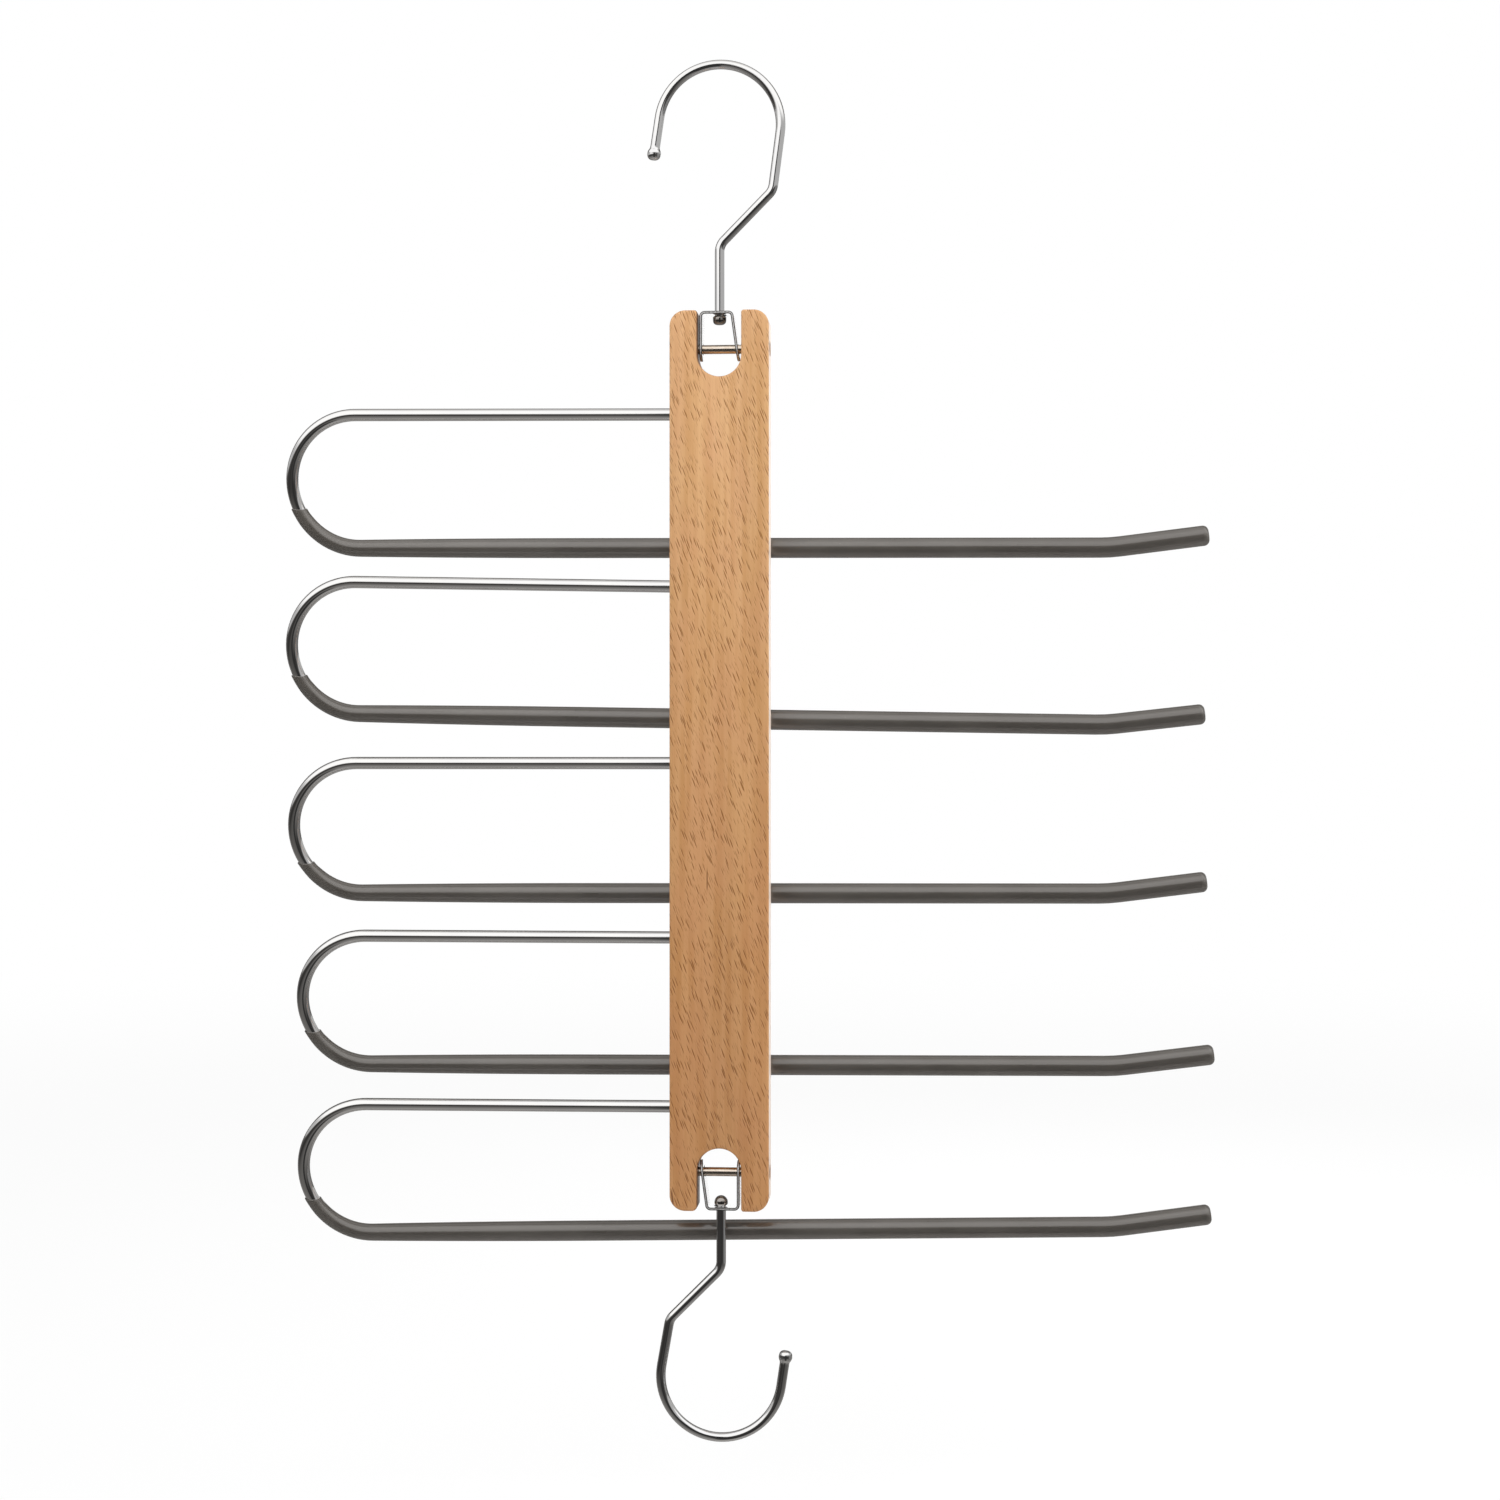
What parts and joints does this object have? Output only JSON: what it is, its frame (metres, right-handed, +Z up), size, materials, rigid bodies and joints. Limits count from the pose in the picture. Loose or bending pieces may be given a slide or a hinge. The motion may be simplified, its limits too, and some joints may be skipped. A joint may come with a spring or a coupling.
{
  "type": "multi tier trouser hanger",
  "caption": "Upright beech board with a folding swivel hook at each end and long U shaped chrome arms that swing out from its back, each with a grey soft sleeve on its bar.",
  "frame": {"origin": "inside of the top hook's loop at its highest point, where the hanger sits on a rail", "axes": "+Z up along the board, -Y out of the board's front face, -X towards the arms' bends"},
  "size_m": [0.3627, 0.0202, 0.5354],
  "materials": {
    "beech": "steamed beech with short dark flecks, satin lacquer",
    "chrome_wire": "bright chrome plate on round steel wire",
    "plated_strip": "polished plated steel strip",
    "bare_steel": "bare drawn steel",
    "grey_sleeve": "warm dark grey soft plastic, satin"
  },
  "bodies": {
    "top_hook": {"top_hook": "chrome_wire"},
    "top_bracket": {"top_bracket": "plated_strip"},
    "board": {"beech_board": "beech", "top_hinge_pin": "bare_steel", "bottom_hinge_pin": "bare_steel", "arm_1_nail": "bare_steel", "arm_2_nail": "bare_steel", "arm_3_nail": "bare_steel", "arm_4_nail": "bare_steel", "arm_5_nail": "bare_steel"},
    "arm_1": {"arm_1_wire": "chrome_wire", "arm_1_sleeve": "grey_sleeve"},
    "arm_2": {"arm_2_wire": "chrome_wire", "arm_2_sleeve": "grey_sleeve"},
    "arm_3": {"arm_3_wire": "chrome_wire", "arm_3_sleeve": "grey_sleeve"},
    "arm_4": {"arm_4_wire": "chrome_wire", "arm_4_sleeve": "grey_sleeve"},
    "arm_5": {"arm_5_wire": "chrome_wire", "arm_5_sleeve": "grey_sleeve"},
    "bottom_bracket": {"bottom_bracket": "plated_strip"},
    "bottom_hook": {"bottom_hook": "chrome_wire"}
  },
  "joints": [
    {"name": "top_hook_swivel", "type": "hinge", "parent": "top_hook", "child": "top_bracket", "pos_m": [-0.0003, 0, -0.09425], "axis": [0, 0, 1], "continuous": true},
    {"name": "top_fold", "type": "hinge", "parent": "top_bracket", "child": "board", "pos_m": [0, 0, -0.10855], "axis": [-1, 0, 0], "range_deg": [-90, 90]},
    {"name": "arm_1_swing", "type": "hinge", "parent": "board", "child": "arm_1", "pos_m": [-0.01925, 0, -0.13355], "axis": [1, 0, -0.0087], "range_deg": [0, 130]},
    {"name": "arm_2_swing", "type": "hinge", "parent": "board", "child": "arm_2", "pos_m": [-0.01925, 0, -0.20028], "axis": [0.9998, 0, -0.0192], "range_deg": [0, 130]},
    {"name": "arm_3_swing", "type": "hinge", "parent": "board", "child": "arm_3", "pos_m": [-0.01925, 0, -0.2688], "axis": [1, 0, 0], "range_deg": [0, 130]},
    {"name": "arm_4_swing", "type": "hinge", "parent": "board", "child": "arm_4", "pos_m": [-0.01925, 0, -0.33642], "axis": [1, 0, 0], "range_deg": [0, 130]},
    {"name": "arm_5_swing", "type": "hinge", "parent": "board", "child": "arm_5", "pos_m": [-0.01925, 0, -0.40195], "axis": [1, 0, 0.0035], "range_deg": [-2.5, 130]},
    {"name": "bottom_fold", "type": "hinge", "parent": "board", "child": "bottom_bracket", "pos_m": [0, 0, -0.42705], "axis": [-1, 0, 0], "range_deg": [0, 90]},
    {"name": "bottom_hook_swivel", "type": "hinge", "parent": "bottom_bracket", "child": "bottom_hook", "pos_m": [0.0003, 0, -0.44135], "axis": [0, 0, 1], "continuous": true}
  ]
}
